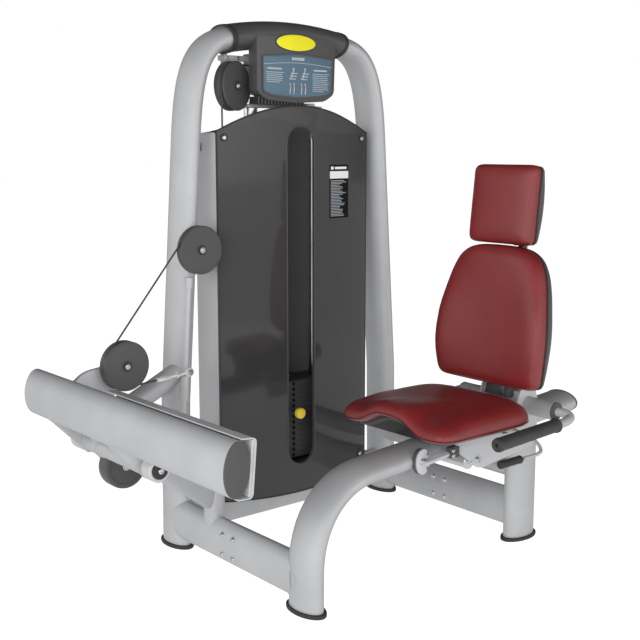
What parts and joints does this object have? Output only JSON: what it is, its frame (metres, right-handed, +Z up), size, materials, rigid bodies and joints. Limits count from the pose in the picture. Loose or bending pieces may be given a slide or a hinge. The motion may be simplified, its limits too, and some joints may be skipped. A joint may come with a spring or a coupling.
{
  "type": "seated calf machine",
  "caption": "Selectorised seated calf press: a padded seat on an inclined rail faces a pivoting foot bar that lifts a weight stack through a cable and pulleys.",
  "frame": {"origin": "centre of the machine's footprint box, on the floor", "axes": "+X from the foot bar towards the seat back, +Y from the seat towards the weight-stack tower, +Z up"},
  "size_m": [1.42, 0.967, 1.495],
  "materials": {
    "silver_paint": "silver metallic powder coat, satin",
    "dark_plastic": "moulded dark grey plastic, semi gloss",
    "gloss_black": "gloss black",
    "black_rubber": "matt",
    "bright_steel": "polished",
    "black_iron": "black enamel",
    "maroon_leather": "soft sheen, fine grain",
    "yellow_plastic": "gloss",
    "cable": "plastic-sheathed steel cable"
  },
  "bodies": {
    "frame": {"foot_pad_tower_left": "black_rubber", "foot_pad_tower_right": "black_rubber", "foot_pad_front": "black_rubber", "foot_pad_rear": "black_rubber", "tower_arch": "silver_paint", "seat_rail_tube": "silver_paint", "rear_post": "silver_paint", "left_base_beam": "silver_paint", "right_base_beam": "silver_paint", "rear_upper_beam": "silver_paint", "base_crossbeam": "silver_paint", "front_shroud": "dark_plastic", "rear_shroud": "dark_plastic", "left_side_panel": "silver_paint", "right_side_panel": "silver_paint", "crossbar_cover": "gloss_black", "console_housing": "dark_plastic", "left_guide_rod": "bright_steel", "right_guide_rod": "bright_steel", "stack_base": "black_rubber", "lower_weight_plates": "black_iron", "pulley_hanger": "silver_paint", "leg_pulley_post": "silver_paint", "pivot_shaft": "bright_steel", "pivot_pedestal": "silver_paint", "pivot_strut": "silver_paint", "turnbuckle": "bright_steel", "cable_tower_run": "cable", "cable_stack_run": "cable", "seat_stop_plate": "silver_paint"},
    "lifted_stack": {"top_weight_plate": "black_iron", "weight_plate_02": "black_iron", "weight_plate_03": "black_iron", "weight_plate_04": "black_iron", "weight_plate_05": "black_iron", "weight_plate_06": "black_iron", "selector_stem": "bright_steel"},
    "selector_pin": {"selector_pin": "yellow_plastic"},
    "foot_arm": {"foot_bar": "silver_paint", "foot_plate": "silver_paint", "arm_frame": "silver_paint", "counterweight": "black_rubber"},
    "arm_pulley": {"arm_pulley": "dark_plastic"},
    "mid_pulley": {"mid_pulley": "dark_plastic"},
    "tower_pulley": {"tower_pulley": "dark_plastic"},
    "centre_pulley": {"centre_pulley": "dark_plastic"},
    "base_pulley": {"base_pulley": "dark_plastic"},
    "cable_swing": {"arm_cable_upper": "cable"},
    "cable_stretch": {"arm_cable_upper_end": "cable"},
    "cable_return": {"arm_cable_lower_end": "cable"},
    "seat": {"seat_carriage": "silver_paint", "seat_pad": "maroon_leather", "back_pad": "maroon_leather", "head_pad": "maroon_leather", "near_handle": "silver_paint", "near_grip": "black_rubber", "far_handle": "silver_paint", "far_grip": "black_rubber"},
    "rail_roller": {"rail_roller": "bright_steel"},
    "release_lever": {"release_lever": "bright_steel"}
  },
  "joints": [
    {"name": "foot_arm_pivot", "type": "hinge", "parent": "frame", "child": "foot_arm", "pos_m": [-0.52738, 0.2635, 0.347], "axis": [0, -1, 0], "range_deg": [0, 35]},
    {"name": "stack_lift", "type": "slide", "parent": "frame", "child": "lifted_stack", "axis": [0, 0, 1], "range_m": [0, 0.2366], "deforming": ["cable_stack_run"]},
    {"name": "selector_pin_pull", "type": "slide", "parent": "lifted_stack", "child": "selector_pin", "axis": [0, -1, 0], "range_m": [0, 0.08]},
    {"name": "mid_pulley_spin", "type": "hinge", "parent": "frame", "child": "mid_pulley", "pos_m": [-0.23338, 0.3135, 0.857], "axis": [0, -1, 0], "range_deg": [0, 227]},
    {"name": "tower_pulley_spin", "type": "hinge", "parent": "frame", "child": "tower_pulley", "pos_m": [-0.06638, 0.3765, 1.306], "axis": [0.3401, -0.9404, 0], "range_deg": [0, 227]},
    {"name": "centre_pulley_spin", "type": "hinge", "parent": "frame", "child": "centre_pulley", "pos_m": [0.07662, 0.4055, 1.316], "axis": [0, -1, 0], "range_deg": [0, 272]},
    {"name": "base_pulley_spin", "type": "hinge", "parent": "frame", "child": "base_pulley", "pos_m": [-0.14788, 0.335, 0.186], "axis": [0.6446, -0.7645, 0], "range_deg": [-407, 0]},
    {"name": "arm_pulley_spin", "type": "hinge", "parent": "foot_arm", "child": "arm_pulley", "pos_m": [-0.47438, 0.3135, 0.564], "axis": [0, -1, 0], "range_deg": [0, 95]},
    {"name": "cable_swing_hinge", "type": "hinge", "parent": "frame", "child": "cable_swing", "pos_m": [-0.23338, 0.3135, 0.857], "axis": [0, -1, 0], "range_deg": [-11.8, 0]},
    {"name": "cable_stretch_slide", "type": "slide", "parent": "cable_swing", "child": "cable_stretch", "axis": [-0.6352, 0, -0.7723], "range_m": [0, 0.1025]},
    {"name": "cable_return_slide", "type": "slide", "parent": "frame", "child": "cable_return", "axis": [-0.9967, 0, -0.0807], "range_m": [0, 0.135]},
    {"name": "seat_slide", "type": "slide", "parent": "frame", "child": "seat", "axis": [0.9971, 0, 0.0758], "range_m": [-0.06, 0.14]},
    {"name": "rail_roller_spin", "type": "hinge", "parent": "seat", "child": "rail_roller", "pos_m": [0.23762, -0.2035, 0.29705], "axis": [0, -1, 0], "range_deg": [-175, 405]},
    {"name": "release_lever_pull", "type": "hinge", "parent": "seat", "child": "release_lever", "pos_m": [0.37062, -0.2845, 0.372], "axis": [0, 1, 0], "range_deg": [0, 20], "stiffness_Nm_per_rad": 4}
  ],
  "couplings": [
    {"joint": "stack_lift", "follows": "foot_arm_pivot", "m_per_rad": 0.387},
    {"joint": "mid_pulley_spin", "follows": "foot_arm_pivot", "ratio": 6.449},
    {"joint": "tower_pulley_spin", "follows": "foot_arm_pivot", "ratio": 6.449},
    {"joint": "centre_pulley_spin", "follows": "foot_arm_pivot", "ratio": 7.739},
    {"joint": "base_pulley_spin", "follows": "foot_arm_pivot", "ratio": -11.585},
    {"joint": "arm_pulley_spin", "follows": "foot_arm_pivot", "ratio": 2.67},
    {"joint": "cable_swing_hinge", "follows": "foot_arm_pivot", "ratio": -0.3353},
    {"joint": "cable_stretch_slide", "follows": "foot_arm_pivot", "m_per_rad": 0.16706},
    {"joint": "cable_return_slide", "follows": "foot_arm_pivot", "m_per_rad": 0.2205},
    {"joint": "rail_roller_spin", "follows": "seat_slide", "rad_per_m": 50}
  ]
}
